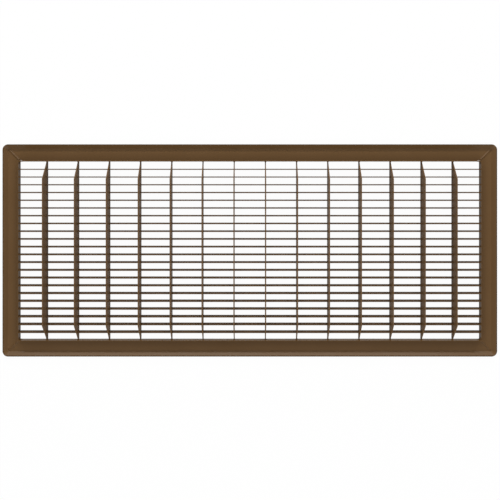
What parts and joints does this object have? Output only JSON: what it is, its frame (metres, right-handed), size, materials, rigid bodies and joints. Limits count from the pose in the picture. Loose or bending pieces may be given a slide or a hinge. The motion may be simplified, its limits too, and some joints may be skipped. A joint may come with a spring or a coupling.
{
  "type": "floor return air grille",
  "caption": "Rectangular drop-in floor return air grille: a drawn steel frame with a flanged window, long thin fins on edge, and deeper tapered support bars across them.",
  "frame": {"origin": "centre of the frame's outline, on the plane of the frame's ridge, which the part lies on", "axes": "+Z out of the underside, from the walking face towards the support bars; +X along the frame's long side"},
  "size_m": [0.804, 0.345, 0.0238],
  "materials": {
    "frame_paint": "satin brown baked enamel on steel",
    "fin_paint": "satin brown baked enamel on steel",
    "bar_paint": "satin brown baked enamel on steel"
  },
  "bodies": {
    "root": {"frame": "frame_paint", "fin_01": "fin_paint", "fin_02": "fin_paint", "fin_03": "fin_paint", "fin_04": "fin_paint", "fin_05": "fin_paint", "fin_06": "fin_paint", "fin_07": "fin_paint", "fin_08": "fin_paint", "fin_09": "fin_paint", "fin_10": "fin_paint", "fin_11": "fin_paint", "fin_12": "fin_paint", "fin_13": "fin_paint", "fin_14": "fin_paint", "fin_15": "fin_paint", "fin_16": "fin_paint", "fin_17": "fin_paint", "fin_18": "fin_paint", "fin_19": "fin_paint", "fin_20": "fin_paint", "fin_21": "fin_paint", "fin_22": "fin_paint", "bar_01": "bar_paint", "bar_02": "bar_paint", "bar_03": "bar_paint", "bar_04": "bar_paint", "bar_05": "bar_paint", "bar_06": "bar_paint", "bar_07": "bar_paint", "bar_08": "bar_paint", "bar_09": "bar_paint", "bar_10": "bar_paint", "bar_11": "bar_paint", "bar_12": "bar_paint", "bar_13": "bar_paint", "bar_14": "bar_paint"}
  },
  "joints": []
}
